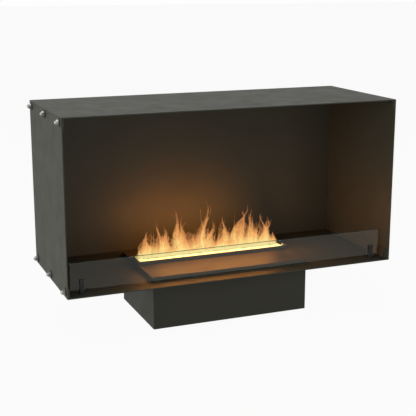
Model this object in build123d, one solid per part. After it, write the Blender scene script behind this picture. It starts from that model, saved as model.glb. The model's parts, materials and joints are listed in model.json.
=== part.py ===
from build123d import *
from math import cos, radians, sin, tan
import os

# Water vapour fireplace, in mm. The origin is the middle of the footprint of the lower
# housing, +X runs along the width, -Y is the open front and +Z is up.

# Open-fronted casing of folded steel sheet
case_width = 1000.0
case_depth = 390.0
case_height = 490.0
case_sheet = 3.0
case_flange = 30.0

# Casing bolts: three rows deep along the top and bottom edge of each side
bolt_inset_z = 15.0
bolt_inset_y = 24.0
bolt_rows = 3
bolt_r = 4.0
bolt_hole_gap = 0.4
bolt_head_r = 7.0
bolt_head_t = 4.0
washer_r = 12.0
washer_t = 2.0
nut_flats = 13.0
nut_hex_t = 6.0
nut_dome_r = 5.6
nut_dome_steps = 3
nut_thread_gap = 0.05

# Lower housing with the water and the electronics
base_width = 484.0
base_inset_y = 49.0
base_height = 138.0
base_sheet = 1.5
base_corner_r = 3.0
base_flange = 18.0
base_lip = 12.0
base_screw_inset = 60.0
screw_r = 2.0
screw_head_r = 3.8
screw_head_t = 2.2
screw_gap = 0.2

# Tray that drops into the casing floor: flange, deck and raised nozzle bar
deck_overhang_x = 1.0
deck_inset_y = 6.5
deck_rise = 12.0
tray_margin = 8.0
tray_sheet = 1.5
tray_flange_t = 2.0
lid_lip = 8.0
lid_gap = 0.5
bar_depth = 68.0
bar_rise = 11.0
bar_shift = 17.0
bar_lip = 3.0

# Light diffuser and mist outlet in the nozzle bar
diffuser_t = 3.0
diffuser_drop = 1.5
diffuser_gap = 0.3
slot_width = 14.0
slot_end_margin = 24.0
throat_wall = 2.0
led_board_t = 1.6
led_board_gap = 2.0
led_size = 5.0
led_t = 1.4
led_pitch = 30.0

# Low glass screen and its holders
glass_t = 6.0
glass_edge_r = 1.0
glass_inset_x = 12.0
glass_setback = 31.0
glass_height = 85.5
clip_width = 12.5
clip_height = 40.0
clip_t = 2.5
clip_base_t = 1.5
clip_inset = 48.0
pad_t = 1.0
pad_gap = 0.15

# Mist chamber, its transducers and its float switch
chamber_end_gap = 22.0
chamber_depth = 52.0
chamber_wall = 2.0
chamber_flange = 7.0
disc_r = 15.0
disc_t = 10.0
disc_rim = 4.0
disc_recess = 3.0
disc_count = 6
disc_pitch = 66.0
float_r = 9.0
float_t = 12.0
float_edge = 1.0
float_travel = 20.0
float_stem_r = 3.0
float_gap = 0.3
float_stop_r = 5.0
float_stop_t = 2.0
float_lift = 8.0

# Blowers behind the mist chamber
fan_size = 60.0
fan_thick = 20.0
fan_bore_r = 27.5
fan_tip_gap = 1.2
fan_hub_r = 12.0
fan_shaft_r = 2.0
fan_shaft_gap = 0.05
fan_blades = 5
fan_root_pitch = 42.0
fan_tip_pitch = 24.0
fan_chord = 12.0
fan_blade_t = 1.6
fan_x = 110.0
fan_z = 92.0
fan_blade_in = 1.0
fan_tip_thin = 0.7
fan_tip_wide = 1.2
fan_corner_r = 4.0
fan_hole_inset = 5.0
fan_arm = 3.0
fan_arm_in = 1.5
fan_arm_out = 2.5
fan_shaft_z = 2.0
fan_rotor_z = 3.0
fan_rotor_gap = 1.0

# Water tank with its filler cap and drain
tank_end_margin = 27.0
tank_gap = 3.0
tank_wall = 2.5
tank_headroom = 12.5
tank_corner_r = 6.0
filler_inset = 65.0
neck_r = 22.0
neck_h = 8.0
neck_wall = 3.0
cap_wall = 2.0
cap_gap = 0.4
cap_grip_h = 7.0
cap_grip_t = 6.0
cap_edge = 0.8
grip_reach = 0.8
grip_round = 0.48
wing_round = 0.95
drain_r = 10.0
drain_bore_r = 5.0
drain_proud = 6.0
drain_z = 18.0
drain_grip = 8.0
drain_hole_gap = 1.0
feed_inset_x = 92.0
feed_z = 14.0
feed_r = 6.0
feed_bore_r = 4.0

# Finned heat sinks of the lamps, along both sides of the mist chamber
sink_plate_t = 2.0
sink_height = 14.0
sink_fins = 4
sink_fin_t = 1.2

# Electronics in the rear of the lower housing
psu_size = (120.0, 52.0, 38.0)
psu_inset_x = 142.0
psu_gap = 2.0
board_size = (140.0, 1.6, 70.0)
board_inset_x = 127.0
board_lift = 6.0
component_pitch = 32.0
component_start = 22.0
component_sizes = ((18.0, 14.0, 15.0), (18.0, 14.0, 15.0), (30.0, 24.0, 20.0), (12.0, 30.0, 8.0))
standoff_r = 3.0
standoff_h = 31.0
standoff_inset = 8.0
inlet_size = (27.6, 20.0)
inlet_bezel = 3.0
inlet_deep = 22.0
inlet_wall = 2.0
inlet_inset_x = 47.0
inlet_z = 40.0
inlet_pin_pitch = 7.0
inlet_pin = (2.0, 5.0)
inlet_pin_step = 2.0
inlet_pin_in = 4.0
switch_size = (15.0, 26.0)
switch_deep = 14.0
switch_pitch = 35.0
bezel_t = 1.5
rocker_width = 11.0
rocker_half = 8.5
rocker_tilt = 10.0
rocker_centre = 4.0
rocker_pivot_in = 3.5
rocker_back = 4.0
rocker_back_step = 2.0
rocker_reach_gap = 0.4
rocker_side_gap = 0.3
rocker_pin_out = 0.9
panel_gap = 0.2
rocker_pin_r = 1.5
vent_count = 17
vent_pitch = 9.0
vent_slot = (3.0, 30.0)

# Levels and edges that follow from the sizes above
base_depth = case_depth - 2 * base_inset_y
deck_width = base_width + 2 * deck_overhang_x
deck_depth = base_depth - 2 * deck_inset_y
floor_bottom = base_height
floor_top = base_height + case_sheet
case_top = base_height + case_height
case_front = -case_depth / 2
case_back = case_depth / 2
side_inner = case_width / 2 - case_sheet
rim_top = floor_top + deck_rise - tray_sheet
deck_top = floor_top + deck_rise
bar_top = deck_top + bar_rise
bar_front = bar_shift - bar_depth / 2
bar_back = bar_shift + bar_depth / 2
base_floor = base_sheet
base_back = base_depth / 2
cut_x = base_width / 2 - base_flange
cut_y = base_depth / 2 - base_flange
inlet_x = inlet_inset_x - base_width / 2
switch_x = inlet_x + switch_pitch
feed_x = base_width / 2 - feed_inset_x
slot_x = deck_width / 2 - slot_end_margin
slot_y = slot_width / 2


def block(x0, x1, y0, y1, z0, z1):
    """A box between two corners."""
    return Pos((x0 + x1) / 2, (y0 + y1) / 2, (z0 + z1) / 2) * Box(x1 - x0, y1 - y0, z1 - z0)


def rod(axis, start, end, a, b, r):
    """A cylinder along one axis; a and b are its place on the other two, in X, Y, Z order."""
    length = end - start
    mid = (start + end) / 2
    if axis == "x":
        return Pos(mid, a, b) * Rot(0, 90, 0) * Cylinder(r, length)
    if axis == "y":
        return Pos(a, mid, b) * Rot(90, 0, 0) * Cylinder(r, length)
    return Pos(a, b, mid) * Cylinder(r, length)


def save(name, *shapes):
    """Writes the solids of one named piece to its own file."""
    solids = [solid for shape in shapes for solid in shape.solids()]
    for solid in solids:
        solid.label = name
    whole = solids[0] if len(solids) == 1 else Compound(label=name, children=solids)
    export_step(whole, f"parts/{name}.step")


def bolt_places():
    """Y and Z of the bolts on one side."""
    span = case_depth - 2 * bolt_inset_y
    for row in range(bolt_rows):
        y = case_front + bolt_inset_y + row * span / (bolt_rows - 1)
        yield y, case_top - bolt_inset_z
        yield y, floor_bottom + bolt_inset_z


def bolt_holes(x0, x1):
    return [rod("x", x0, x1, y, z, bolt_r + bolt_hole_gap) for y, z in bolt_places()]


def base_screw_places():
    """X and Y of the screws that hang the lower housing from the casing floor."""
    x = (cut_x + deck_width / 2 - tray_sheet) / 2
    y = (cut_y + deck_depth / 2 - tray_sheet) / 2
    for sx in (-1, 1):
        for sy in (-1, 1):
            yield sx * x, sy * (y - base_screw_inset)
            yield sx * (x - base_screw_inset), sy * y


def make_casing():
    for side, name in ((-1, "left"), (1, "right")):
        outer = side * case_width / 2
        inner = side * side_inner
        panel = block(min(outer, inner), max(outer, inner), case_front, case_back, floor_bottom, case_top)
        panel -= bolt_holes(min(outer, inner), max(outer, inner))
        save(f"side_panel_{name}", panel)

    def folded(plate_z0, plate_z1, flange_z0, flange_z1):
        sheet = block(-side_inner, side_inner, case_front, case_back - case_sheet, plate_z0, plate_z1)
        for side in (-1, 1):
            low, high = sorted((side * side_inner, side * (side_inner - case_sheet)))
            flange = block(low, high, case_front, case_back - case_sheet, flange_z0, flange_z1)
            sheet += flange - bolt_holes(low, high)
        return sheet

    save("top_panel", folded(case_top - case_sheet, case_top, case_top - case_flange, case_top))

    floor = folded(floor_bottom, floor_top, floor_bottom, floor_bottom + case_flange)
    floor -= block(-cut_x, cut_x, -cut_y, cut_y, floor_bottom, floor_top)
    floor -= [rod("z", floor_bottom, floor_top, x, y, screw_r + screw_gap) for x, y in base_screw_places()]
    save("floor_panel", floor)

    back = block(-side_inner, side_inner, case_back - case_sheet, case_back, floor_bottom, case_top)
    save("back_panel", back)


def cap_nut():
    """A domed nut along +Z with a blind bore, its seat at Z = 0."""
    up = (Align.CENTER, Align.CENTER, Align.MIN)
    body = extrude(RegularPolygon(nut_flats / 2, 6, major_radius=False), nut_hex_t)
    outline = [(0, nut_hex_t)]
    for step in range(nut_dome_steps + 1):
        angle = radians(90 * step / nut_dome_steps)
        outline.append((nut_dome_r * cos(angle), nut_hex_t + nut_dome_r * sin(angle)))
    outline[-1] = (0, nut_hex_t + nut_dome_r)
    body += revolve(make_face(Plane.XZ * Polyline(*outline, close=True)), Axis.Z)
    return body - Cylinder(bolt_r + nut_thread_gap, nut_hex_t, align=up)


def make_bolts():
    washers = []
    bolts = []
    for side, name in ((-1, "left"), (1, "right")):
        face = case_width / 2
        nuts = []
        for y, z in bolt_places():
            turn = Rot(0, 90 * side, 0)
            nuts.append(Pos(side * (face + washer_t), y, z) * turn * cap_nut())
            low, high = sorted((side * face, side * (face + washer_t)))
            ring = rod("x", low, high, y, z, washer_r)
            ring -= rod("x", low, high, y, z, bolt_r + bolt_hole_gap)
            washers.append(ring)
            head = side_inner - case_sheet
            low, high = sorted((side * head, side * (face + washer_t + nut_hex_t)))
            shank = rod("x", low, high, y, z, bolt_r)
            low, high = sorted((side * (head - bolt_head_t), side * head))
            bolts.append(shank + rod("x", low, high, y, z, bolt_head_r))
        save(f"cap_nuts_{name}", *nuts)
    save("bolt_washers", *washers)
    save("casing_bolts", *bolts)


def make_glass():
    front = case_front + glass_setback
    back = front + glass_t
    seat = floor_top + clip_base_t + pad_t
    half = side_inner - glass_inset_x
    pane = block(-half, half, front, back, seat, seat + glass_height)
    pane = fillet(pane.edges().filter_by(Axis.X).group_by(Axis.Z)[-1], glass_edge_r)
    save("glass_screen", pane)

    clips = []
    pads = []
    inner = pad_t + pad_gap
    for side in (-1, 1):
        x = side * (case_width / 2 - clip_inset)
        x0 = x - clip_width / 2
        x1 = x + clip_width / 2
        y0 = front - inner
        y1 = back + inner
        clip = block(x0, x1, y0 - clip_t, y1 + clip_t, floor_top, floor_top + clip_height)
        clip = fillet(clip.edges().filter_by(Axis.X).group_by(Axis.Z)[-1], clip_t / 2)
        clip -= block(x0, x1, y0, y1, floor_top + clip_base_t, floor_top + clip_height)
        clips.append(clip)
        pad = block(x0, x1, y0, y1, floor_top + clip_base_t, floor_top + clip_height)
        pad -= block(x0, x1, y0 + pad_t, y1 - pad_t, seat, floor_top + clip_height)
        pads.append(pad)
    save("glass_clips", *clips)
    save("glass_clip_pads", *pads)


def make_base():
    shell = Box(base_width, base_depth, base_height, align=(Align.CENTER, Align.CENTER, Align.MIN))
    shell = fillet(shell.edges().filter_by(Axis.Z), base_corner_r)
    hollow_x = base_width / 2 - base_sheet
    hollow_y = base_depth / 2 - base_sheet
    lip_x = hollow_x - base_lip
    lip_y = hollow_y - base_lip
    shell -= block(-hollow_x, hollow_x, -hollow_y, hollow_y, 0, base_sheet)
    shell -= block(-lip_x, lip_x, -lip_y, lip_y, base_sheet, 2 * base_sheet)
    shell -= block(-hollow_x, hollow_x, -hollow_y, hollow_y, 2 * base_sheet, base_height - base_sheet)
    shell -= block(-cut_x, cut_x, -cut_y, cut_y, base_height - base_sheet, base_height)
    shell -= [
        rod("z", base_height - base_sheet, base_height, x, y, screw_r + screw_gap)
        for x, y in base_screw_places()
    ]
    rear = (base_back - base_sheet, base_back)
    vent_start = fan_x - (vent_count - 1) * vent_pitch / 2
    for index in range(vent_count):
        x = vent_start + index * vent_pitch
        for sign in (-1, 1):
            shell -= block(
                sign * x - vent_slot[0] / 2, sign * x + vent_slot[0] / 2, *rear,
                fan_z - vent_slot[1] / 2, fan_z + vent_slot[1] / 2
            )
    shell -= block(
        inlet_x - inlet_size[0] / 2, inlet_x + inlet_size[0] / 2, *rear,
        inlet_z - inlet_size[1] / 2, inlet_z + inlet_size[1] / 2
    )
    shell -= block(
        switch_x - switch_size[0] / 2 + bezel_t, switch_x + switch_size[0] / 2 - bezel_t, *rear,
        inlet_z - switch_size[1] / 2 + bezel_t, inlet_z + switch_size[1] / 2 - bezel_t
    )
    hole_r = drain_r + drain_hole_gap
    shell -= rod("x", base_width / 2 - base_sheet, base_width / 2, tank_mid_y(), drain_z, hole_r)
    save("base_housing", shell)

    plate = block(
        -hollow_x + lid_gap, hollow_x - lid_gap, -hollow_y + lid_gap, hollow_y - lid_gap, 0, base_sheet
    )
    save("base_bottom_plate", plate)

    screws = []
    for x, y in base_screw_places():
        head = rod("z", floor_top, floor_top + screw_head_t, x, y, screw_head_r)
        screws.append(head + rod("z", base_height - 3 * base_sheet, floor_top, x, y, screw_r))
    save("base_screws", *screws)


def make_tray():
    half_x = deck_width / 2
    half_y = deck_depth / 2
    frame = block(
        -half_x - tray_margin, half_x + tray_margin, -half_y - tray_margin, half_y + tray_margin,
        floor_top, floor_top + tray_flange_t
    )
    frame += block(-half_x, half_x, -half_y, half_y, floor_top, rim_top)
    wall_x = half_x - tray_sheet
    wall_y = half_y - tray_sheet
    frame -= block(-wall_x, wall_x, -wall_y, wall_y, floor_top, rim_top)
    save("tray_frame", frame)

    def deck(y0, y1, open_y0, open_y1):
        plate = block(-half_x, half_x, y0, y1, rim_top, deck_top)
        lip_x = half_x - tray_sheet - lid_gap
        lips = block(-lip_x, lip_x, open_y0, open_y1, rim_top - lid_lip, rim_top)
        lips -= block(
            -lip_x + tray_sheet, lip_x - tray_sheet, open_y0 + tray_sheet, open_y1 - tray_sheet,
            rim_top - lid_lip, rim_top
        )
        return plate + lips

    edge = half_y - tray_sheet - lid_gap
    save("front_deck_lid", deck(-half_y, bar_front - lid_gap, -edge, bar_front - 2 * lid_gap))
    save("rear_deck", deck(bar_back, half_y, bar_back + lid_gap, edge))

    bar = block(-half_x, half_x, bar_front, bar_back, rim_top, bar_top)
    bar = fillet(bar.edges().filter_by(Axis.X).group_by(Axis.Z)[-1], tray_sheet)
    inner_x = half_x - tray_sheet
    inner_y = bar_depth / 2 - tray_sheet
    bar -= block(-inner_x, inner_x, bar_shift - inner_y, bar_shift + inner_y, rim_top, bar_top - tray_sheet)
    open_x = half_x - bar_lip
    open_y = bar_depth / 2 - bar_lip
    bar -= block(-open_x, open_x, bar_shift - open_y, bar_shift + open_y, bar_top - tray_sheet, bar_top)
    save("nozzle_bar", bar)


def make_outlet():
    """The diffuser under the bar's lip, the mist throat and the two rows of lamps."""
    top = bar_top - diffuser_drop
    bottom = top - diffuser_t
    inner_x = deck_width / 2 - tray_sheet - diffuser_gap
    inner_y = bar_depth / 2 - tray_sheet - diffuser_gap
    plate = block(-inner_x, inner_x, bar_shift - inner_y, bar_shift + inner_y, bottom, top)
    plate -= block(-slot_x, slot_x, bar_shift - slot_y, bar_shift + slot_y, bottom, top)
    save("flame_diffuser", plate)

    out_x = slot_x + throat_wall
    out_y = slot_y + throat_wall
    foot = rim_top
    throat = block(-out_x, out_x, bar_shift - out_y, bar_shift + out_y, foot, bottom)
    throat -= block(-slot_x, slot_x, bar_shift - slot_y, bar_shift + slot_y, foot, bottom)
    save("mist_throat", throat)

    boards = []
    lamps = []
    for side in (-1, 1):
        y0 = bar_shift + side * (out_y + led_board_gap)
        y1 = bar_shift + side * (inner_y - led_board_gap)
        low, high = min(y0, y1), max(y0, y1)
        boards.append(block(-slot_x, slot_x, low, high, foot, foot + led_board_t))
        count = int(2 * (slot_x - led_pitch / 2) // led_pitch) + 1
        for index in range(count):
            x = (index - (count - 1) / 2) * led_pitch
            chip = Box(led_size, led_size, led_t, align=(Align.CENTER, Align.CENTER, Align.MIN))
            lamps.append(Pos(x, (low + high) / 2, foot + led_board_t) * chip)
    save("led_boards", *boards)
    save("led_chips", *lamps)


def chamber_bounds():
    half_x = base_width / 2 - chamber_end_gap
    return -half_x, half_x, bar_shift - chamber_depth / 2, bar_shift + chamber_depth / 2


def make_chamber():
    x0, x1, y0, y1 = chamber_bounds()
    w = chamber_wall
    lid_bottom = rim_top - w
    trough = block(x0, x1, y0, y1, base_floor, lid_bottom)
    trough -= block(x0 + w, x1 - w, y0 + w, y1 - w, base_floor + w, lid_bottom)
    for side in (-1, 1):
        trough -= rod("y", y1 - w, y1, side * fan_x, fan_z, fan_bore_r)
    trough -= rod("y", y0, y0 + w, feed_x, feed_z, feed_bore_r)
    save("mist_chamber", trough)

    lid = block(
        x0 - chamber_flange, x1 + chamber_flange, y0 - chamber_flange, y1 + chamber_flange,
        lid_bottom, rim_top
    )
    lid -= block(-slot_x, slot_x, bar_shift - slot_y, bar_shift + slot_y, lid_bottom, rim_top)
    save("mist_chamber_lid", lid)

    floor = base_floor + w
    discs = []
    for index in range(disc_count):
        x = (index - (disc_count - 1) / 2) * disc_pitch
        holder = rod("z", floor, floor + disc_t, x, bar_shift, disc_r)
        holder -= rod("z", floor + disc_t - disc_recess, floor + disc_t, x, bar_shift, disc_r - disc_rim)
        discs.append(holder)
    save("mist_transducers", *discs)

    stop = floor + float_lift
    rest = stop + float_stop_t
    top = rest + float_t + float_travel
    stem = rod("z", floor, top + float_stop_t, 0, bar_shift, float_stem_r)
    stem += rod("z", stop, rest, 0, bar_shift, float_stop_r)
    stem += rod("z", top + float_gap, top + float_gap + float_stop_t, 0, bar_shift, float_stop_r)
    save("float_stem", stem)
    ring = rod("z", rest, rest + float_t, 0, bar_shift, float_r)
    ring = chamfer(ring.edges().filter_by(GeomType.CIRCLE), float_edge)
    ring -= rod("z", rest, rest + float_t, 0, bar_shift, float_stem_r + float_gap)
    save("float_ring", ring)

    sinks = []
    for side, wall in ((-1, y0), (1, y1)):
        def strip(near, far, z0, z1):
            low, high = sorted((wall + side * near, wall + side * far))
            return block(-slot_x, slot_x, low, high, z0, z1)

        sink = strip(0, sink_plate_t, lid_bottom - sink_height, lid_bottom)
        pitch = (sink_height - sink_fin_t) / (sink_fins - 1)
        for fin in range(sink_fins):
            z = lid_bottom - sink_height + fin * pitch
            sink += strip(0, chamber_flange, z, z + sink_fin_t)
        sinks.append(sink)
    save("led_heatsinks", *sinks)


def fan_blade():
    """A twisted blade that narrows in thickness and widens towards its tip."""
    root = Rot(0, 0, fan_root_pitch) * Rectangle(fan_blade_t, fan_chord)
    tip = Rot(0, 0, fan_tip_pitch) * Rectangle(fan_blade_t * fan_tip_thin, fan_chord * fan_tip_wide)
    tip_r = fan_bore_r - fan_tip_gap
    return loft([Plane.YZ.offset(fan_hub_r - fan_blade_in) * root, Plane.YZ.offset(tip_r) * tip])


def make_fans():
    y1 = chamber_bounds()[3]
    depth = fan_thick
    middle = (Align.CENTER, Align.CENTER, Align.MIN)
    frame = Box(fan_size, fan_size, depth, align=middle)
    frame = fillet(frame.edges().filter_by(Axis.Z), fan_corner_r)
    frame -= Cylinder(fan_bore_r, depth, align=middle)
    hole_pitch = fan_size - 2 * fan_hole_inset
    for corner in GridLocations(hole_pitch, hole_pitch, 2, 2):
        frame -= corner * Cylinder(screw_r, depth, align=middle)
    back = depth - fan_arm
    spider = Pos(0, 0, back) * Cylinder(fan_hub_r, fan_arm, align=middle)
    arm_start = fan_hub_r - fan_arm_in
    arm_end = fan_bore_r + fan_arm_out
    arm = Box(arm_end - arm_start, fan_arm, fan_arm, align=middle)
    for turn in range(4):
        spider += Rot(0, 0, 45 + 90 * turn) * Pos((arm_start + arm_end) / 2, 0, back) * arm
    spider += Pos(0, 0, fan_shaft_z) * Cylinder(fan_shaft_r, back - fan_shaft_z, align=middle)
    frame += spider
    hub = back - fan_rotor_gap - fan_rotor_z
    rotor = Pos(0, 0, fan_rotor_z) * Cylinder(fan_hub_r, hub, align=middle)
    for turn in range(fan_blades):
        rotor += Rot(0, 0, turn * 360 / fan_blades) * Pos(0, 0, fan_rotor_z + hub / 2) * fan_blade()
    bore = Cylinder(fan_shaft_r + fan_shaft_gap, depth, align=middle)
    rotor -= bore
    for side, name in ((-1, "left"), (1, "right")):
        place = Pos(side * fan_x, y1, fan_z) * Rot(-90, 0, 0)
        save(f"fan_frame_{name}", place * frame)
        save(f"fan_rotor_{name}", place * rotor)


def tank_bounds():
    half_x = base_width / 2 - tank_end_margin
    front = -base_depth / 2 + base_flange + tank_gap
    return -half_x, half_x, front, chamber_bounds()[2] - chamber_flange - tank_gap


def tank_mid_y():
    bounds = tank_bounds()
    return (bounds[2] + bounds[3]) / 2


def make_tank():
    x0, x1, y0, y1 = tank_bounds()
    mid = tank_mid_y()
    top = base_height - tank_headroom
    w = tank_wall
    lid_bottom = top - w
    tank = block(x0, x1, y0, y1, base_floor, lid_bottom)
    tank = fillet(tank.edges().filter_by(Axis.Z), tank_corner_r)
    end = base_width / 2 + drain_proud
    tank += rod("x", x1 - w, end, mid, drain_z, drain_r)
    tank -= block(x0 + w, x1 - w, y0 + w, y1 - w, base_floor + w, lid_bottom)
    tank -= rod("x", x1 - w, end, mid, drain_z, drain_bore_r)
    tank -= rod("y", y1 - w, y1, feed_x, feed_z, feed_bore_r)
    save("water_tank", tank)

    filler_x = x0 + filler_inset
    lid = block(x0, x1, y0, y1, lid_bottom, top)
    lid = fillet(lid.edges().filter_by(Axis.Z), tank_corner_r)
    lid += rod("z", top, top + neck_h, filler_x, mid, neck_r)
    lid -= rod("z", lid_bottom, top + neck_h, filler_x, mid, neck_r - neck_wall)
    save("tank_lid", lid)

    chamber_front = chamber_bounds()[2]
    pipe = rod("y", y1, chamber_front, feed_x, feed_z, feed_r)
    pipe -= rod("y", y1, chamber_front, feed_x, feed_z, feed_bore_r)
    save("feed_pipe", pipe)

    seat = top + neck_h
    cap_r = neck_r + cap_gap + cap_wall
    skirt = top + cap_gap
    cap = rod("z", skirt, seat + cap_wall, filler_x, mid, cap_r)
    cap = chamfer(cap.edges().filter_by(GeomType.CIRCLE).group_by(Axis.Z)[-1], cap_edge)
    cap -= rod("z", skirt, seat, filler_x, mid, neck_r + cap_gap)
    grip = block(
        filler_x - cap_r * grip_reach, filler_x + cap_r * grip_reach,
        mid - cap_grip_t / 2, mid + cap_grip_t / 2,
        seat + cap_wall, seat + cap_wall + cap_grip_h
    )
    cap += fillet(grip.edges().filter_by(Axis.Z), cap_grip_t * grip_round)
    save("filler_cap", cap)

    knob_r = drain_r + cap_gap + cap_wall
    knob = rod("x", base_width / 2 + cap_gap, end + cap_wall, mid, drain_z, knob_r)
    knob -= rod("x", base_width / 2 + cap_gap, end, mid, drain_z, drain_r + cap_gap)
    wing = block(
        end + cap_wall, end + cap_wall + drain_grip, mid - cap_wall, mid + cap_wall,
        drain_z - knob_r * grip_reach, drain_z + knob_r * grip_reach
    )
    knob += fillet(wing.edges().filter_by(Axis.X), cap_wall * wing_round)
    save("drain_knob", knob)


def make_electronics():
    length, depth, height = psu_size
    psu_x = psu_inset_x - base_width / 2
    y1 = base_back - base_flange - psu_gap
    psu = block(psu_x - length / 2, psu_x + length / 2, y1 - depth, y1, base_floor, base_floor + height)
    psu = chamfer(psu.edges().filter_by(Axis.Y), base_sheet)
    save("power_supply", psu)

    board_x = base_width / 2 - board_inset_x
    board_back = base_back - base_sheet - standoff_h
    board_front = board_back - board_size[1]
    x0 = board_x - board_size[0] / 2
    x1 = board_x + board_size[0] / 2
    z0 = 2 * base_sheet + board_lift
    z1 = z0 + board_size[2]
    save("control_board", block(x0, x1, board_front, board_back, z0, z1))
    posts = []
    for x in (x0 + standoff_inset, x1 - standoff_inset):
        for z in (z0 + standoff_inset, z1 - standoff_inset):
            posts.append(rod("y", board_back, base_back - base_sheet, x, z, standoff_r))
    save("board_standoffs", *posts)
    components = []
    for index, (wide, high, deep) in enumerate(component_sizes):
        x = x0 + component_start + index * component_pitch
        z = (z0 + z1) / 2
        components.append(
            block(x - wide / 2, x + wide / 2, board_front - deep, board_front, z - high / 2, z + high / 2)
        )
    save("board_components", *components)


def make_power_entry():
    wide, high = inlet_size
    face = base_back
    inlet = block(
        inlet_x - wide / 2 + panel_gap, inlet_x + wide / 2 - panel_gap, face - inlet_deep, face,
        inlet_z - high / 2 + panel_gap, inlet_z + high / 2 - panel_gap
    )
    inlet += block(
        inlet_x - wide / 2 - inlet_bezel, inlet_x + wide / 2 + inlet_bezel, face, face + bezel_t,
        inlet_z - high / 2 - inlet_bezel, inlet_z + high / 2 + inlet_bezel
    )
    socket_back = face - inlet_deep + 2 * inlet_wall
    inlet -= block(
        inlet_x - wide / 2 + inlet_wall, inlet_x + wide / 2 - inlet_wall, socket_back, face + bezel_t,
        inlet_z - high / 2 + inlet_wall, inlet_z + high / 2 - inlet_wall
    )
    blades = []
    pin_wide, pin_high = inlet_pin
    for step in (-1, 0, 1):
        x = inlet_x + step * inlet_pin_pitch
        z = inlet_z + (inlet_pin_step if step == 0 else -inlet_pin_step)
        blades.append(
            block(
                x - pin_wide / 2, x + pin_wide / 2, socket_back, face - inlet_pin_in,
                z - pin_high / 2, z + pin_high / 2
            )
        )
    save("power_inlet", inlet)
    save("inlet_pins", *blades)

    wide, high = switch_size
    neck_x = wide / 2 - bezel_t - panel_gap
    neck_z = high / 2 - bezel_t - panel_gap
    body = block(
        switch_x - neck_x, switch_x + neck_x, face - switch_deep, face, inlet_z - neck_z, inlet_z + neck_z
    )
    body += block(
        switch_x - wide / 2, switch_x + wide / 2, face, face + bezel_t,
        inlet_z - high / 2, inlet_z + high / 2
    )
    pivot_y = face - rocker_pivot_in
    rise = rocker_centre + rocker_half * tan(radians(rocker_tilt))
    reach = (rise ** 2 + rocker_half ** 2) ** 0.5 + rocker_reach_gap
    half = rocker_width / 2
    body -= block(
        switch_x - half - rocker_side_gap, switch_x + half + rocker_side_gap,
        pivot_y - rocker_half, face + bezel_t, inlet_z - reach, inlet_z + reach
    )
    for side in (-1, 1):
        x0 = switch_x + side * (half + panel_gap)
        x1 = switch_x + side * (wide / 2)
        body -= rod("x", min(x0, x1), max(x0, x1), pivot_y, inlet_z, rocker_pin_r + fan_shaft_gap)
    save("switch_frame", body)

    back_z = rocker_half - rocker_back_step
    profile = Plane.YZ * Polyline(
        (rocker_centre, 0), (rise, rocker_half), (-rocker_back_step, back_z), (-rocker_back, 0),
        (-rocker_back_step, -back_z), (rise, -rocker_half), (rocker_centre, 0)
    )
    rocker = extrude(make_face(profile), half, both=True)
    rocker += rod("x", -half - rocker_pin_out, half + rocker_pin_out, 0, 0, rocker_pin_r)
    save("power_rocker", Pos(switch_x, pivot_y, inlet_z) * Rot(-rocker_tilt, 0, 0) * rocker)


def main():
    os.makedirs("parts", exist_ok=True)
    make_casing()
    make_bolts()
    make_glass()
    make_base()
    make_tray()
    make_outlet()
    make_chamber()
    make_fans()
    make_tank()
    make_electronics()
    make_power_entry()


main()
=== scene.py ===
import json
import math
import random

import bmesh
import bpy
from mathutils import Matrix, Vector


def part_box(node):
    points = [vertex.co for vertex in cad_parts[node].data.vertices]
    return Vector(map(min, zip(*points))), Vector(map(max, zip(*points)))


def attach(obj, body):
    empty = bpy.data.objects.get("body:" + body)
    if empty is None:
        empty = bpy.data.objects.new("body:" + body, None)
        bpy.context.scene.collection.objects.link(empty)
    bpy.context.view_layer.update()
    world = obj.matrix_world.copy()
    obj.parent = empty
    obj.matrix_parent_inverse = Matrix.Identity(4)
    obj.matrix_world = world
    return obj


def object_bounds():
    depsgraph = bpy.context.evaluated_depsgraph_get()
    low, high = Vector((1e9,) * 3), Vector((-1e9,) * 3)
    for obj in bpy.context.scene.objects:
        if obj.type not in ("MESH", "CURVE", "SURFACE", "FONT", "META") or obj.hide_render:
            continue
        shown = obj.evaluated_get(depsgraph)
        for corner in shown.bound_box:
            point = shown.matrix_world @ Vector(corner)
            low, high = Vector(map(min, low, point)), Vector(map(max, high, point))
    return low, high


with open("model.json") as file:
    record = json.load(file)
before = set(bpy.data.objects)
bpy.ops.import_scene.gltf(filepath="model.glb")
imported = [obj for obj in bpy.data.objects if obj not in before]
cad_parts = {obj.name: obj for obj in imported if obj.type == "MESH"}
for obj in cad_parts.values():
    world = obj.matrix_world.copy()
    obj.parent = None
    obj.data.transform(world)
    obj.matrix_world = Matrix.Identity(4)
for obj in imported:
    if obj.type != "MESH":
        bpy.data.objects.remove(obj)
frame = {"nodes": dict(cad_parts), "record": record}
cad_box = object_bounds()
nodes = frame["nodes"]

# Camera that gives the photograph's view: metres, degrees, and millimetres for lens and sensor
CAMERA_AT = (-1.0598, -2.5802, 0.9796)
CAMERA_PITCH = 13.6563
CAMERA_YAW = 22.0133
CAMERA_LENS = 82.61
CAMERA_SENSOR = 36

# The room: how white it shows, and how strongly it lights the object
ROOM_WHITE = (0.985, 0.986, 0.984)
WORLD_SOFT = 0.24

# Colour of the light of the flames
WARM = (1.0, 0.345, 0.06)

# Places taken from the frame
bar_low, bar_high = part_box("nozzle_bar")
BAR_TOP = bar_high[2]
BAR_MID_Y = (bar_low[1] + bar_high[1]) / 2
GLOW_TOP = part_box("flame_diffuser")[1][2]

# The opening of the bar ends this far short of its left and right ends
BAR_ENDS = (0.0065, 0.017)
SLOT_LEFT, SLOT_RIGHT = bar_low[0] + BAR_ENDS[0], bar_high[0] - BAR_ENDS[1]

# Just inside the hearth's open front and its back wall, along Y
HEARTH_FRONT, HEARTH_BACK = -0.19, 0.19

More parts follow.
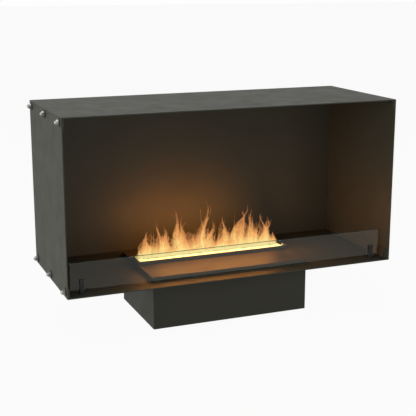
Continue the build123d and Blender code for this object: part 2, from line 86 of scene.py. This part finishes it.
# Studio lamps: name, place, target, size and watts
OBJECT_MIDDLE = (0, 0, 0.35)
STUDIO_LAMPS = (
    ("key_left", (-3.2, -1.2, 0.9), OBJECT_MIDDLE, (2.2, 1.6), 80),
    ("low_left", (-3.2, -0.5, 0.4), (0, -0.1, 0.2), (2.0, 0.7), 16),
    ("front_soft", (0.4, -3.6, 0.7), OBJECT_MIDDLE, (3.0, 1.2), 38),
    ("right_soft", (3.4, -1.6, 0.8), OBJECT_MIDDLE, (2.0, 1.4), 54),
    ("top_soft", (-0.4, 0.6, 3.4), OBJECT_MIDDLE, (3.0, 2.4), 80),
)

# Flame tongues: place of the tip along the bar, height, width, lean to the tip and curl, in metres
TONGUES = (
    (-0.200, 0.080, 0.046, 0.006, 0.008),
    (-0.164, 0.114, 0.014, -0.008, 0.010),
    (-0.150, 0.092, 0.036, -0.006, -0.008),
    (-0.122, 0.138, 0.034, -0.026, -0.014),
    (-0.082, 0.108, 0.040, 0.012, 0.012),
    (-0.014, 0.162, 0.020, 0.010, -0.017),
    (0.006, 0.100, 0.030, 0.012, -0.010),
    (0.054, 0.104, 0.036, 0.006, 0.009),
    (0.106, 0.136, 0.024, 0.022, -0.022),
    (0.108, 0.116, 0.044, 0.004, -0.008),
    (0.150, 0.116, 0.030, 0.016, 0.012),
    (0.152, 0.080, 0.036, 0.004, 0.006),
    (0.176, 0.104, 0.026, -0.012, 0.010),
    (0.194, 0.092, 0.032, 0.006, -0.008),
    (0.220, 0.040, 0.024, 0.004, 0.004),
)

# Layers of a tongue from haze to core: place behind the bar's middle, share of the tongue's
# width, share of its height and density
LAYERS = (
    (0.016, 1.5, 0.90, 0.50),
    (0.009, 1.0, 1.0, 0.95),
    (0.004, 0.45, 0.92, 1.0),
)

# Veils along the whole slot: place behind the bar's middle, height, heat and density
VEILS = (
    (0.016, 0.052, 0.3, 0.75),
    (0.009, 0.040, 0.7, 0.85),
    (0.002, 0.026, 1.0, 0.9),
)

# Seed of the random draws, and number of low licks
FLAME_SEED = 11
LICKS = 60

# How far the flames' feet sink into the lit plate, and how far the veils start from the slot's
# left end
FLAME_SINK = 0.001
FLAME_INSET = 0.006

# Least distance of the tongues' roots and of the licks from the veils' ends, and the length that
# sets how gently veils and licks get lower towards those ends
ROOT_INSET = 0.012
LICK_INSET = 0.006
END_FADE = 0.05

# Node whose finish in the photograph is not that of its record slot
PLAINER = {"casing_bolts": "casing_black"}


class Shader:
    """A material with a short way to add nodes and links."""

    def __init__(self, name):
        self.material = bpy.data.materials.new(name)
        self.material.use_nodes = True
        self.tree = self.material.node_tree
        self.tree.nodes.clear()
        self.output = self.node("ShaderNodeOutputMaterial")

    def node(self, kind, inputs=None, **settings):
        made = self.tree.nodes.new(kind)
        for key, value in settings.items():
            setattr(made, key, value)
        for socket, value in (inputs or {}).items():
            self.feed(made.inputs[socket], value)
        return made

    def feed(self, socket, value):
        if isinstance(value, bpy.types.NodeSocket):
            self.tree.links.new(value, socket)
        else:
            socket.default_value = value

    def math(self, operation, *values, clamp=False):
        made = self.node("ShaderNodeMath", operation=operation, use_clamp=clamp)
        for index, value in enumerate(values):
            self.feed(made.inputs[index], value)
        return made.outputs[0]

    def noise(self, vector, scale, detail=3.0, distortion=0.0, rough=0.5):
        inputs = {
            "Vector": vector,
            "Scale": scale,
            "Detail": detail,
            "Roughness": rough,
            "Distortion": distortion,
        }
        return self.node("ShaderNodeTexNoise", inputs).outputs["Fac"]

    def ramp(self, factor, *stops):
        made = self.node("ShaderNodeValToRGB", {"Fac": factor})
        ramp = made.color_ramp
        while len(ramp.elements) < len(stops):
            ramp.elements.new(0.5)
        for element, (place, colour) in zip(ramp.elements, stops):
            element.position = place
            element.color = (*colour, 1.0)
        return made.outputs["Color"]

    def remap(self, value, low, high, to_low, to_high):
        inputs = {
            "Value": value,
            "From Min": low,
            "From Max": high,
            "To Min": to_low,
            "To Max": to_high,
        }
        return self.node("ShaderNodeMapRange", inputs).outputs["Result"]

    def bump(self, height, strength, distance):
        inputs = {"Height": height, "Strength": strength, "Distance": distance}
        return self.node("ShaderNodeBump", inputs).outputs["Normal"]

    def place(self):
        """Place in the object's own frame, in metres."""
        return self.node("ShaderNodeTexCoord").outputs["Object"]

    def split(self, vector):
        return self.node("ShaderNodeSeparateXYZ", {"Vector": vector}).outputs

    def show(self, made):
        """Puts a shader node on the material's surface."""
        self.feed(self.output.inputs["Surface"], made.outputs[0])

    def principled(self, **inputs):
        named = {key.replace("_", " "): value for key, value in inputs.items()}
        made = self.node("ShaderNodeBsdfPrincipled", named)
        self.show(made)


def powder_coat(name, dark, light, rough, specular):
    """Satin powder coat: slow tone changes, fine orange peel and a little uneven gloss."""
    s = Shader(name)
    at = s.place()
    peel = s.noise(at, 900.0, 2.0)
    grit = s.noise(at, 2600.0, 1.0)
    height = s.math("ADD", peel, s.math("MULTIPLY", grit, 0.5))
    s.principled(
        Base_Color=s.ramp(s.noise(at, 5.0, 4.0), (0.3, dark), (0.7, light)),
        Roughness=s.remap(s.noise(at, 18.0, 4.0), 0.3, 0.7, rough - 0.04, rough + 0.05),
        Specular_IOR_Level=specular,
        Normal=s.bump(height, strength=0.25, distance=0.0002),
    )
    return s.material


def nut_steel(name):
    """Steel of the domed nuts, a little uneven in tone and gloss."""
    s = Shader(name)
    at = s.place()
    dark, light = (0.17, 0.17, 0.16), (0.25, 0.245, 0.235)
    s.principled(
        Base_Color=s.ramp(s.noise(at, 160.0), (0.3, dark), (0.7, light)),
        Metallic=1.0,
        Roughness=s.remap(s.noise(at, 500.0), 0.3, 0.7, 0.40, 0.50),
    )
    return s.material


def brushed_metal(name, tone):
    """Bare metal with fine streaks along X."""
    s = Shader(name)
    stretch = {"Vector": s.place(), "Scale": (20.0, 900.0, 900.0)}
    streak = s.noise(s.node("ShaderNodeMapping", stretch).outputs[0], 1.0, 4.0)
    pale_gain = 1.15
    pale = tuple(min(1.0, part * pale_gain) for part in tone)
    s.principled(
        Base_Color=s.ramp(streak, (0.35, tone), (0.65, pale)),
        Metallic=1.0,
        Roughness=s.remap(streak, 0.3, 0.7, 0.25, 0.4),
        Normal=s.bump(streak, strength=0.1, distance=0.0001),
    )
    return s.material


def moulded(name, dark, light, rough=0.45):
    """Matt plastic, rubber, foam or board with a fine moulded grain."""
    s = Shader(name)
    at = s.place()
    s.principled(
        Base_Color=s.ramp(s.noise(at, 30.0), (0.3, dark), (0.7, light)),
        Roughness=s.remap(s.noise(at, 90.0), 0.3, 0.7, rough - 0.06, rough + 0.08),
        Normal=s.bump(s.noise(at, 2200.0, 2.0), strength=0.2, distance=0.0001),
        Specular_IOR_Level=0.2,
    )
    return s.material


def clear_glass(name):
    """Clear glass: a thin clear layer with a mirror gloss on its outer faces, faint wiping marks
    and a ground top edge."""
    s = Shader(name)
    at = s.place()
    glass_ior = 1.45
    edge_rise = 0.4
    edge_cover = 0.75
    dark, light = (0.92, 0.94, 0.92), (0.94, 0.96, 0.94)
    clear = s.node("ShaderNodeBsdfTransparent", {
        "Color": s.ramp(s.noise(at, 12.0), (0.3, dark), (0.7, light)),
    })
    gloss = s.node("ShaderNodeBsdfGlossy", {
        "Color": (0.90, 0.90, 0.83, 1.0),
        "Roughness": s.remap(s.noise(at, 40.0, 5.0, 2.0), 0.4, 0.75, 0.0, 0.03),
    })
    fresnel = s.node("ShaderNodeFresnel", {"IOR": glass_ior}).outputs[0]
    faces = s.node("ShaderNodeNewGeometry")
    shine = s.math("MULTIPLY", fresnel, s.math("SUBTRACT", 1.0, faces.outputs["Backfacing"]))
    both = s.node("ShaderNodeMixShader", {0: shine, 1: clear.outputs[0], 2: gloss.outputs[0]})
    upward = s.math("GREATER_THAN", s.split(faces.outputs["Normal"])["Z"], edge_rise)
    edge = s.math("MULTIPLY", upward, edge_cover)
    ground = s.node("ShaderNodeBsdfDiffuse", {"Color": (0.055, 0.062, 0.052, 1.0)})
    whole = s.node("ShaderNodeMixShader", {0: edge, 1: both.outputs[0], 2: ground.outputs[0]})
    s.show(whole)
    return s.material


def opal_glow(name, strength, behind=1.0):
    """Opal plastic lit from below; behind is the share of its glow at the back of the slot."""
    s = Shader(name)
    at = s.place()
    glow = s.ramp(s.noise(at, 22.0, 3.0), (0.3, (1.0, 0.90, 0.26)), (0.7, (1.0, 0.99, 0.40)))
    fade = 0.004
    depth = s.split(at)["Y"]
    power = s.remap(depth, BAR_MID_Y - fade, BAR_MID_Y + fade, strength, strength * behind)
    s.principled(
        Base_Color=(0.85, 0.75, 0.55, 1.0),
        Roughness=s.remap(s.noise(at, 60.0), 0.3, 0.7, 0.35, 0.5),
        Emission_Color=glow,
        Emission_Strength=power,
    )
    return s.material


def flame_shader(name):
    """Lit mist. The UV shape runs across and up each sheet from 0 to 1, the UV flow does so in
    metres, and the colour attribute holds each sheet's traits: its seed, heat and density."""
    s = Shader(name)
    traits = s.node("ShaderNodeAttribute", attribute_name="tongue").outputs["Color"]
    parts = s.node("ShaderNodeSeparateColor", {"Color": traits}).outputs
    seed, heat, density = parts[0], parts[1], parts[2]
    shape = s.split(s.node("ShaderNodeUVMap", uv_map="shape").outputs["UV"])
    across, up = shape["X"], shape["Y"]
    flow = s.split(s.node("ShaderNodeUVMap", uv_map="flow").outputs["UV"])
    seed_spread = 61.0
    shift = s.math("MULTIPLY", seed, seed_spread)

    def streaks(wide, tall, distortion):
        at = s.node("ShaderNodeCombineXYZ", {
            "X": s.math("MULTIPLY_ADD", flow["X"], wide, shift),
            "Y": s.math("MULTIPLY_ADD", flow["Y"], tall, shift),
            "Z": shift,
        })
        return s.noise(at.outputs[0], 1.0, 3.0, distortion, 0.55)

    # Slow billows tear the outline, and fine bright threads run up the sheet
    billow = streaks(wide=62.0, tall=34.0, distortion=2.4)
    fine = streaks(wide=150.0, tall=46.0, distortion=2.6)
    ridge = s.math("ABSOLUTE", s.math("MULTIPLY_ADD", fine, 2.0, -1.0))
    thread = s.math("POWER", s.math("SUBTRACT", 1.0, ridge, clamp=True), 6.0)
    edge = s.math("ABSOLUTE", s.math("MULTIPLY_ADD", across, 2.0, -1.0))
    body = s.math("SUBTRACT", 1.0, s.math("POWER", edge, 2.5))
    tear = s.math("MULTIPLY_ADD", billow, 4.0, -2.0)
    torn = s.math("MULTIPLY", tear, s.math("MULTIPLY_ADD", up, 0.45, 0.42))
    torn = s.math("MULTIPLY", torn, s.math("MULTIPLY_ADD", density, -0.8, 1.45))
    mass = s.math("ADD", s.math("SUBTRACT", body, s.math("MULTIPLY", up, 0.35)), torn)
    veil = s.remap(mass, 0.05, 0.85, 0.0, 1.0)
    glow = s.math("MULTIPLY_ADD", thread, 0.66, s.remap(up, 0.0, 0.9, 0.48, 0.14))
    alpha = s.math("MULTIPLY", s.math("MULTIPLY", veil, glow), density, clamp=True)
    # Yellow at the foot, orange above and a dull red brown at the tip
    cool = s.math("MULTIPLY_ADD", billow, -0.35, up)
    cool = s.math("SUBTRACT", cool, s.math("MULTIPLY", heat, 0.30))
    colour = s.ramp(
        s.math("MULTIPLY_ADD", thread, -0.15, s.math("ADD", cool, 0.34)),
        (0.0, (1.0, 0.86, 0.38)),
        (0.22, (1.0, 0.68, 0.23)),
        (0.48, (0.93, 0.40, 0.12)),
        (1.0, (0.62, 0.23, 0.09)),
    )
    light = s.node("ShaderNodeEmission", {"Color": colour, "Strength": 1.0})
    clear = s.node("ShaderNodeBsdfTransparent")
    both = s.node("ShaderNodeMixShader", {0: alpha, 1: clear.outputs[0], 2: light.outputs[0]})
    s.show(both)
    return s.material


def make_materials():
    """One material for each slot of the record."""
    coat_rough = 0.55
    return {
        "casing_black": powder_coat(
            "casing_coat", (0.0260, 0.0264, 0.0190), (0.0292, 0.0296, 0.0216), coat_rough, specular=0.10
        ),
        "housing_black": powder_coat(
            "housing_coat", (0.0222, 0.0217, 0.0163), (0.0252, 0.0247, 0.0189), coat_rough, specular=0.10
        ),
        "tray_black": powder_coat(
            "tray_coat", (0.033, 0.027, 0.020), (0.037, 0.030, 0.023), coat_rough, specular=0.12
        ),
        "polished_steel": nut_steel("polished_steel"),
        "washer_black": moulded("washer_black", (0.012, 0.012, 0.012), (0.02, 0.02, 0.02), rough=0.5),
        "zinc_steel": brushed_metal("zinc_steel", (0.50, 0.51, 0.53)),
        "clear_glass": clear_glass("screen_glass"),
        "black_plastic": moulded("black_plastic", (0.006, 0.006, 0.005), (0.009, 0.009, 0.008)),
        "clear_rubber": moulded("pad_rubber", (0.010, 0.010, 0.009), (0.016, 0.016, 0.014), rough=0.6),
        "grey_plastic": moulded("grey_plastic", (0.14, 0.145, 0.15), (0.18, 0.185, 0.19)),
        "tank_plastic": moulded("tank_plastic", (0.50, 0.55, 0.58), (0.60, 0.64, 0.67), rough=0.35),
        "diffuser_glow": opal_glow("opal_glow", strength=1.2, behind=0.25),
        "circuit_board": moulded("circuit_board", (0.01, 0.07, 0.03), (0.015, 0.09, 0.04), rough=0.3),
        "led_glow": opal_glow("led_glow", strength=4.0),
        "aluminium": brushed_metal("aluminium", (0.62, 0.63, 0.64)),
        "ceramic_steel": brushed_metal("transducer_steel", (0.60, 0.60, 0.58)),
        "float_foam": moulded("float_foam", (0.65, 0.65, 0.62), (0.75, 0.75, 0.72), rough=0.55),
    }


def dress_nodes(materials):
    slots = {part["node"]: part["material_slot"] for part in frame["record"]["subparts"]}
    for name, piece in nodes.items():
        piece.data.materials.clear()
        piece.data.materials.append(materials[PLAINER.get(name, slots[name])])


def round_edges(names, width):
    """Breaks the sharp edges of some nodes by a small bevel."""
    sharp = math.radians(40)
    for name in names:
        bevel = nodes[name].modifiers.new("soft_edge", "BEVEL")
        bevel.width = width
        bevel.segments = 2
        bevel.limit_method = "ANGLE"
        bevel.angle_limit = sharp
        bevel.harden_normals = True


class FlameMesh:
    """Collects flame sheets into one mesh with its two UV maps and its colour attribute."""

    def __init__(self):
        self.points = []
        self.faces = []
        self.shape = []
        self.flow = []
        self.traits = []

    def grid(self, rows, columns, place, traits):
        """Adds a sheet; place(u, t) gives a point and its flow UV for u and t from 0 to 1."""
        start = len(self.points)
        for row in range(rows + 1):
            for column in range(columns + 1):
                u, t = column / columns, row / rows
                point, flow = place(u, t)
                self.points.append(point)
                self.shape.append((u, t))
                self.flow.append(flow)
                self.traits.append(traits)
        across = columns + 1
        for row in range(rows):
            for column in range(columns):
                low = start + row * across + column
                self.faces.append((low, low + 1, low + 1 + across, low + across))

    def tongue(self, root, height, width, lean, curl, turn, traits, rows=24, columns=6):
        """One tongue. root is its foot, turn its facing in degrees and traits its seed, heat and
        density."""
        phase = traits[0] * math.tau
        side = Vector((math.cos(math.radians(turn)), math.sin(math.radians(turn)), 0))
        front = Vector((-side.y, side.x, 0))

        def place(u, t):
            # A belly above the foot, a point at the tip, and a ripple that grows upwards
            belly = 0.5 + 0.7 * math.sin(math.pi * min(1.0, 0.22 + t)) ** 1.2
            ripple = 1 + 0.22 * math.sin(phase + t * 13) * t
            half = width / 2 * belly * (1 - t) ** 0.6 * ripple
            # Sideways it leans, curls and wobbles; forwards it curls less
            drift = lean * t ** 1.5 + curl * math.sin(math.tau * t * 0.85 + phase * 0.15) * t ** 0.7
            drift += 0.10 * width * math.sin(phase * 2 + t * 9) * t
            depth = 0.35 * curl * math.sin(phase + math.tau * t * 0.8) * t
            across = u * 2 - 1
            middle = Vector(root) + side * drift + front * depth + Vector((0, 0, height * t))
            point = middle + side * (half * across) + front * ((1 - across * across) * half * 0.5)
            return point, (half * across, height * t)

        self.grid(rows, columns, place, traits)

    def curtain(self, y, height, traits, left, right, foot):
        """A low veil along the whole slot whose top edge rises and falls."""
        phase = traits[0] * math.tau

        def place(u, t):
            x = left + (right - left) * u
            swell = 1 + 0.28 * math.sin(phase + x * 41) + 0.20 * math.sin(phase * 3 + x * 97)
            ends = min(1.0, 0.30 + min(x - left, right - x) / END_FADE)
            top = height * swell * ends
            wave = 0.005 * math.sin(phase + x * 60 + t * 2) + 0.004 * math.sin(x * 133 + phase)
            sway = 0.006 * math.sin(phase + x * 35 + t * 3) * t
            return Vector((x + sway, y + wave, foot + top * t)), (x, top * t)

        rows, columns = 8, 150
        self.grid(rows, columns, place, traits)

    def build(self, name, material):
        mesh = bpy.data.meshes.new(name)
        mesh.from_pydata(self.points, [], self.faces)
        for title, values in (("shape", self.shape), ("flow", self.flow)):
            layer = mesh.uv_layers.new(name=title)
            for loop in mesh.loops:
                layer.data[loop.index].uv = values[loop.vertex_index]
        colours = mesh.color_attributes.new("tongue", "FLOAT_COLOR", "POINT")
        for index, value in enumerate(self.traits):
            colours.data[index].color = (*value, 1.0)
        mesh.materials.append(material)
        mesh.polygons.foreach_set("use_smooth", [True] * len(mesh.polygons))
        piece = bpy.data.objects.new(name, mesh)
        bpy.context.collection.objects.link(piece)
        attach(piece, "frame")


def add_tongue(flames, tongue, left, right, foot):
    """One main tongue: its layers, and a sheet across them."""
    tip_x, height, width, lean, curl = tongue
    root_x = min(right - ROOT_INSET, max(left + ROOT_INSET, tip_x - lean))
    y_spread, turn_spread, heat_step = 0.004, 16, 0.25
    for layer, (behind, wide, high, dense) in enumerate(LAYERS):
        y = BAR_MID_Y + behind + random.uniform(-y_spread, y_spread)
        traits = (random.random(), heat_step * layer, dense)
        turn = random.uniform(-turn_spread, turn_spread)
        flames.tongue((root_x, y, foot), height * high, width * wide, lean, curl, turn, traits)
    # The sheet across is lower, and leans and curls less
    widest, lower, leaning, curling = 0.034, 0.85, 0.3, 0.6
    traits = (random.random(), 0.4, 0.8)
    turn = random.uniform(70, 110)
    root, width = (root_x, BAR_MID_Y, foot), min(width, widest)
    flames.tongue(root, height * lower, width, lean * leaning, curl * curling, turn, traits)


def add_lick(flames, index, left, right, foot):
    """One low lick; every fourth stands across the slot, and those near its ends are lower."""
    reach = right - left - 2 * LICK_INSET
    x = left + LICK_INSET + reach * (index + random.uniform(0.1, 0.9)) / LICKS
    y = BAR_MID_Y + random.uniform(0.0, 0.018)
    end_drop = min(1.0, 0.35 + min(x - left, right - x) / END_FADE)
    height = random.uniform(0.034, 0.086) * end_drop
    turn = random.uniform(-35, 35) if index % 4 else random.uniform(60, 120)
    traits = (random.random(), random.uniform(0.0, 0.6), random.uniform(0.6, 1.0))
    width = random.uniform(0.012, 0.026)
    lean = random.uniform(-0.014, 0.014)
    curl = random.uniform(-0.008, 0.008)
    flames.tongue((x, y, foot), height, width, lean, curl, turn, traits, rows=14, columns=4)


def add_spills(flames):
    """A little mist that spills over each end of the opening."""
    inset, height, width, curl = 0.002, 0.010, 0.014, 0.002
    y = bar_low[1] + 0.004
    traits = (0.4, 1.0, 1.0)
    for x, lean in ((SLOT_LEFT + inset, -0.007), (SLOT_RIGHT - inset, 0.008)):
        flames.tongue((x, y, BAR_TOP), height, width, lean, curl, 0, traits, rows=8, columns=4)


def make_flames(material):
    """Veils along the slot, main tongues with a haze and a bright core, low licks and spills."""
    random.seed(FLAME_SEED)
    flames = FlameMesh()
    foot = GLOW_TOP - FLAME_SINK
    left, right = SLOT_LEFT + FLAME_INSET, SLOT_RIGHT
    for behind, height, heat, dense in VEILS:
        traits = (random.random(), heat, dense)
        flames.curtain(BAR_MID_Y + behind, height, traits, left, right, foot)
    for tongue in TONGUES:
        add_tongue(flames, tongue, left, right, foot)
    for index in range(LICKS):
        add_lick(flames, index, left, right, foot)
    add_spills(flames)
    flames.build("mist_flames", material)


def make_bar_ends(material):
    """Dark end plates that close the opening of the bar over the last stretch of the diffuser."""
    rim, gap, rounding = 0.003, 0.0002, 0.0003
    depth = bar_high[1] - bar_low[1] - 2 * rim
    made = bmesh.new()
    for outer, inner in ((bar_low[0] + rim, SLOT_LEFT), (bar_high[0] - rim, SLOT_RIGHT)):
        size = (abs(inner - outer), depth, BAR_TOP - GLOW_TOP - 2 * gap)
        middle = ((outer + inner) / 2, BAR_MID_Y, GLOW_TOP + gap + size[2] / 2)
        plate = bmesh.ops.create_cube(made, size=1.0)["verts"]
        bmesh.ops.scale(made, vec=size, verts=plate)
        bmesh.ops.translate(made, vec=middle, verts=plate)
    bmesh.ops.bevel(made, geom=made.edges[:], offset=rounding, segments=2, affect="EDGES")
    finish_piece("bar_end_plates", made, material)


def finish_piece(name, made, material):
    """Turns a built mesh into a piece of the frame body."""
    mesh = bpy.data.meshes.new(name)
    made.to_mesh(mesh)
    made.free()
    mesh.materials.append(material)
    piece = bpy.data.objects.new(name, mesh)
    bpy.context.collection.objects.link(piece)
    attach(piece, "frame")


def make_camera():
    camera = bpy.data.cameras.new("camera")
    camera.lens = CAMERA_LENS
    camera.sensor_width = CAMERA_SENSOR
    holder = bpy.data.objects.new("camera", camera)
    holder.location = CAMERA_AT
    holder.rotation_euler = (math.radians(90 - CAMERA_PITCH), 0, math.radians(-CAMERA_YAW))
    bpy.context.collection.objects.link(holder)
    bpy.context.scene.camera = holder


def area_lamp(name, at, towards, size, watts, colour=(1, 1, 1)):
    lamp = bpy.data.lights.new(name, "AREA")
    lamp.shape = "RECTANGLE"
    lamp.size, lamp.size_y = size
    lamp.energy = watts
    lamp.color = colour
    holder = bpy.data.objects.new(name, lamp)
    holder.location = at
    holder.rotation_euler = (Vector(towards) - Vector(at)).to_track_quat("-Z", "Y").to_euler()
    holder.visible_camera = False
    bpy.context.collection.objects.link(holder)


def make_lights():
    """Soft studio lamps outside, and warm ones in the flames that light the hearth."""
    for name, at, towards, size, watts in STUDIO_LAMPS:
        area_lamp(name, at, towards, size, watts)
    # Height of the lamps in the flames, and heights that the front and the end ones aim at
    rise, drop, climb = 0.06, 0.06, 0.12
    z = BAR_TOP + rise
    low_z, high_z = BAR_TOP - drop, z + climb
    # Places of the back, front and end lamps, and of the walls that the end ones aim at
    wide = (SLOT_RIGHT - SLOT_LEFT) * 0.92
    back_x, back_y = -0.03, BAR_MID_Y + 0.015
    front_x, front_y = 0.004, BAR_MID_Y - 0.02
    end_x, end_size = wide / 2, (0.05, 0.10)
    wall_x, wall_y = 0.5, -0.10
    flame_lamps = (
        ("flame_back", (back_x, back_y, z), (back_x, HEARTH_BACK, z), (wide * 0.8, 0.08), 1.75),
        ("flame_front", (front_x, front_y, z), (front_x, HEARTH_FRONT, low_z), (wide * 0.92, 0.06), 1.05),
        ("flame_left", (-end_x, BAR_MID_Y, z), (-wall_x, wall_y, high_z), end_size, 0.12),
        ("flame_right", (end_x, BAR_MID_Y, z), (wall_x, wall_y, high_z), end_size, 0.72),
    )
    for name, at, towards, size, watts in flame_lamps:
        area_lamp(name, at, towards, size, watts, WARM)


def make_world():
    """White to the camera, to gloss and through glass, and a softer light on the object."""
    world = bpy.data.worlds.new("studio")
    bpy.context.scene.world = world
    world.use_nodes = True
    tree = world.node_tree
    tree.nodes.clear()
    seen = tree.nodes.new("ShaderNodeBackground")
    seen.inputs["Color"].default_value = (*ROOM_WHITE, 1)
    soft = tree.nodes.new("ShaderNodeBackground")
    soft.inputs["Color"].default_value = (1, 1, 1, 1)
    soft.inputs["Strength"].default_value = WORLD_SOFT
    mix = tree.nodes.new("ShaderNodeMixShader")
    out = tree.nodes.new("ShaderNodeOutputWorld")
    tree.links.new(seen_directly(tree), mix.inputs[0])
    tree.links.new(soft.outputs[0], mix.inputs[1])
    tree.links.new(seen.outputs[0], mix.inputs[2])
    tree.links.new(mix.outputs[0], out.inputs[0])


def seen_directly(tree):
    """1 for a ray of the camera, of gloss or through glass, and 0 for a diffuse one."""
    path = tree.nodes.new("ShaderNodeLightPath")
    first = tree.nodes.new("ShaderNodeMath")
    first.operation = "MAXIMUM"
    tree.links.new(path.outputs["Is Camera Ray"], first.inputs[0])
    tree.links.new(path.outputs["Is Glossy Ray"], first.inputs[1])
    second = tree.nodes.new("ShaderNodeMath")
    second.operation = "MAXIMUM"
    tree.links.new(first.outputs[0], second.inputs[0])
    tree.links.new(path.outputs["Is Transmission Ray"], second.inputs[1])
    return second.outputs[0]


def make_floor():
    """Pale floor: it shows near white to the camera and keeps a light shadow."""
    s = Shader("studio_floor")
    at = s.place()
    tone = s.ramp(s.noise(at, 0.6), (0.3, (0.44, 0.44, 0.435)), (0.7, (0.46, 0.46, 0.455)))
    matt = s.node("ShaderNodeBsdfDiffuse", {"Color": tone})
    white = s.node("ShaderNodeEmission", {"Color": (*ROOM_WHITE, 1), "Strength": 1.0})
    white_share = 0.96
    seen = s.math("MULTIPLY", seen_directly(s.tree), white_share)
    both = s.node("ShaderNodeMixShader", {0: seen, 1: matt.outputs[0], 2: white.outputs[0]})
    s.show(both)
    mesh = bpy.data.meshes.new("studio_floor")
    half = 30.0
    corners = [(-half, -half, 0), (half, -half, 0), (half, half, 0), (-half, half, 0)]
    mesh.from_pydata(corners, [], [(0, 1, 2, 3)])
    mesh.materials.append(s.material)
    floor = bpy.data.objects.new("studio_floor", mesh)
    bpy.context.collection.objects.link(floor)
    gap = 0.0005
    floor.location.z = cad_box[0][2] - gap


scene = bpy.context.scene
scene.view_settings.view_transform = "Standard"
# A ray passes many flame sheets, and the pane's mirror caustics would only add grain
scene.cycles.transparent_max_bounces = 32
scene.cycles.caustics_reflective = False
make_camera()
materials = make_materials()
dress_nodes(materials)
casing_panels = ("side_panel_left", "side_panel_right", "top_panel", "back_panel", "floor_panel")
round_edges(casing_panels, width=0.0006)
round_edges(("base_housing", "tray_frame", "front_deck_lid", "rear_deck"), width=0.0004)
make_bar_ends(materials["housing_black"])
make_flames(flame_shader("lit_mist"))
make_world()
make_floor()
make_lights()
